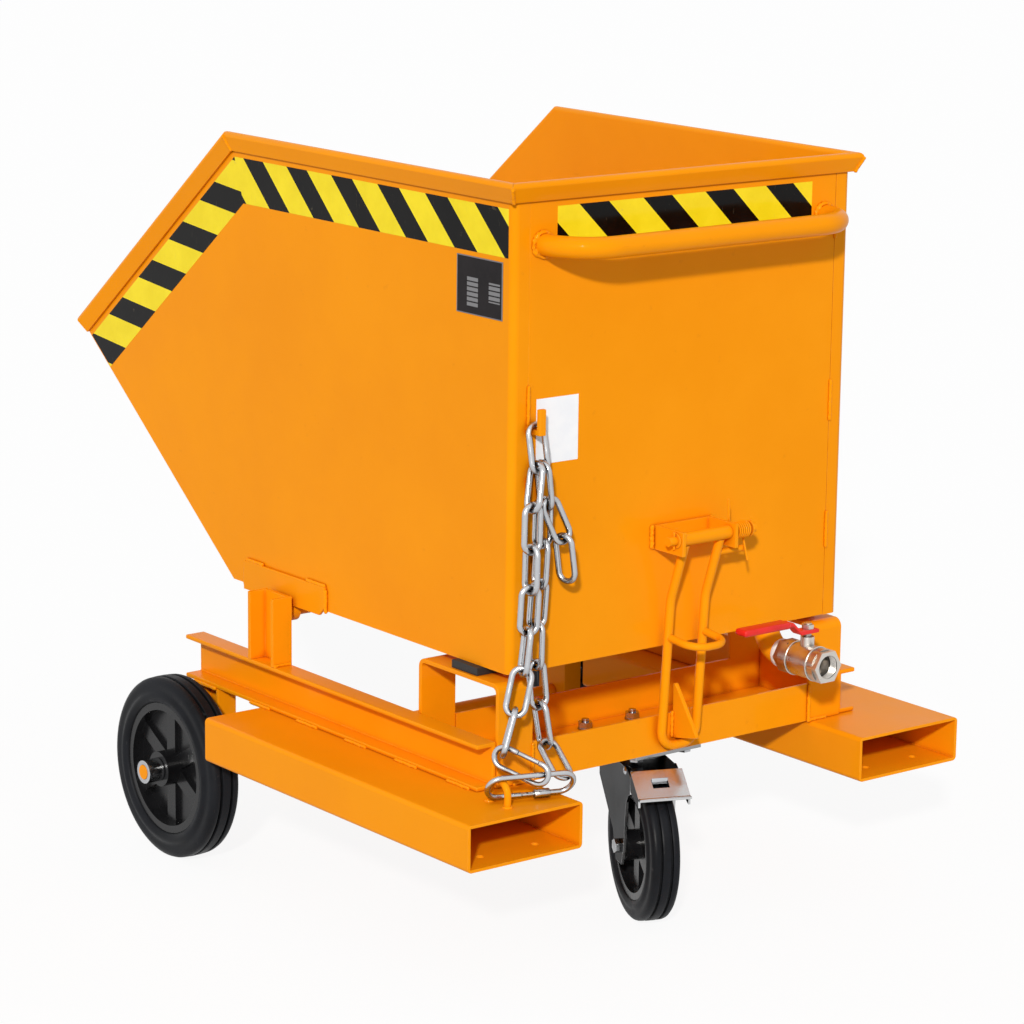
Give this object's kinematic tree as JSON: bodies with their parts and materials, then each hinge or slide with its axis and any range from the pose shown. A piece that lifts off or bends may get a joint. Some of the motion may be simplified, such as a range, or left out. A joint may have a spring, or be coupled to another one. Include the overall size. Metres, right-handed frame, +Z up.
{
  "type": "tipping skip trolley",
  "caption": "Orange sheet-steel tipping skip on a wheeled chassis with fork pockets, push handle, sprung bail latch, lashing chain and drain valve.",
  "frame": {"origin": "on the floor, under the middle of the whole trolley", "axes": "+Z up, +Y forward to the pouring lip, +X to the operator's right at the push handle"},
  "size_m": [0.84, 1.1, 0.987],
  "materials": {
    "orange_paint": "satin orange-yellow powder coat",
    "zinc": "bright zinc plate",
    "nickel": "nickel-plated brass",
    "red_lever": "glossy red vinyl-dipped steel",
    "black_rubber": "matte solid rubber",
    "tyre_rubber": "ribbed black tyre",
    "black_plastic": "glossy black moulded rim",
    "hazard_tape": "yellow and black striped self-adhesive film",
    "dark_plate": "blank dark anodised plate",
    "white_sticker": "plain white self-adhesive label"
  },
  "bodies": {
    "chassis": {"frame_channel_left": "orange_paint", "frame_channel_right": "orange_paint", "fork_pocket_left": "orange_paint", "fork_pocket_right": "orange_paint", "pivot_post_left": "orange_paint", "pivot_post_right": "orange_paint", "rear_support_left": "orange_paint", "rear_support_right": "orange_paint", "rubber_pads": "black_rubber", "castor_crossmember": "orange_paint", "latch_catch": "orange_paint", "axle_bracket_left": "orange_paint", "axle_bracket_right": "orange_paint", "wheel_axle": "orange_paint", "axle_collars": "zinc", "tipping_shaft": "orange_paint", "lashing_eye": "orange_paint", "castor_top_plate": "zinc", "castor_bolts": "zinc", "castor_nuts": "zinc", "carabiner_left": "zinc", "carabiner_right": "zinc"},
    "skip": {"skip_side_left": "orange_paint", "skip_side_right": "orange_paint", "skip_rear_panel": "orange_paint", "skip_floor_chute": "orange_paint", "pivot_strap_left": "orange_paint", "pivot_strap_right": "orange_paint", "pivot_bush_left": "orange_paint", "pivot_bush_right": "orange_paint", "push_handle": "orange_paint", "chain_hook": "orange_paint", "chain_links": "zinc", "latch_bracket": "orange_paint", "latch_pin": "orange_paint", "latch_washers": "orange_paint", "split_pins": "orange_paint", "latch_spring": "orange_paint", "drain_pipe": "orange_paint", "valve_body": "nickel", "hazard_tapes": "hazard_tape", "data_plate": "dark_plate", "plain_sticker": "white_sticker"},
    "latch": {"latch_sleeve": "orange_paint", "latch_bail": "orange_paint", "latch_pull_loop": "orange_paint"},
    "drain_lever": {"valve_lever": "red_lever", "valve_stem": "nickel"},
    "wheel_left": {"tyre_left": "tyre_rubber", "rim_left": "black_plastic"},
    "wheel_right": {"tyre_right": "tyre_rubber", "rim_right": "black_plastic"},
    "castor": {"castor_fork": "zinc", "castor_axle_bolt": "zinc"},
    "castor_wheel": {"castor_tyre": "tyre_rubber", "castor_rim": "black_plastic"},
    "castor_brake": {"castor_brake_pedal": "zinc"},
    "gate_left": {"carabiner_left_gate": "zinc"},
    "gate_right": {"carabiner_right_gate": "zinc"}
  },
  "joints": [
    {"name": "skip_tip", "type": "hinge", "parent": "chassis", "child": "skip", "pos_m": [0, 0.031, 0.36], "axis": [-1, 0, 0], "range_deg": [0, 60]},
    {"name": "latch_swing", "type": "hinge", "parent": "skip", "child": "latch", "pos_m": [0, -0.497, 0.525], "axis": [-1, 0, 0], "range_deg": [0, 20], "stiffness_Nm_per_rad": 3, "springref_deg": -17.19, "deforming": ["latch_spring"]},
    {"name": "drain_lever_turn", "type": "hinge", "parent": "skip", "child": "drain_lever", "pos_m": [0.174, -0.506, 0.375], "axis": [0, 0, 1], "range_deg": [0, 90]},
    {"name": "wheel_left_spin", "type": "hinge", "parent": "chassis", "child": "wheel_left", "pos_m": [-0.366, 0.165, 0.125], "axis": [1, 0, 0], "continuous": true},
    {"name": "wheel_right_spin", "type": "hinge", "parent": "chassis", "child": "wheel_right", "pos_m": [0.366, 0.165, 0.125], "axis": [1, 0, 0], "continuous": true},
    {"name": "castor_swivel", "type": "hinge", "parent": "chassis", "child": "castor", "pos_m": [0, -0.368, 0.224], "axis": [0, 0, 1], "continuous": true},
    {"name": "castor_wheel_spin", "type": "hinge", "parent": "castor", "child": "castor_wheel", "pos_m": [-0.01798, -0.41251, 0.1], "axis": [0.9272, -0.3746, 0], "continuous": true},
    {"name": "castor_brake_press", "type": "hinge", "parent": "castor", "child": "castor_brake", "pos_m": [-0.02622, -0.4329, 0.208], "axis": [0.9272, -0.3746, 0], "range_deg": [0, 8]},
    {"name": "gate_left_open", "type": "hinge", "parent": "chassis", "child": "gate_left", "pos_m": [-0.29386, -0.50328, 0.29084], "axis": [0.8338, 0.5372, -0.1271], "range_deg": [0, 20], "stiffness_Nm_per_rad": 0.05, "springref_deg": -17.19},
    {"name": "gate_right_open", "type": "hinge", "parent": "chassis", "child": "gate_right", "pos_m": [-0.29176, -0.50706, 0.2399], "axis": [-0.2764, -0.837, -0.4724], "range_deg": [0, 20], "stiffness_Nm_per_rad": 0.05, "springref_deg": -17.19}
  ]
}
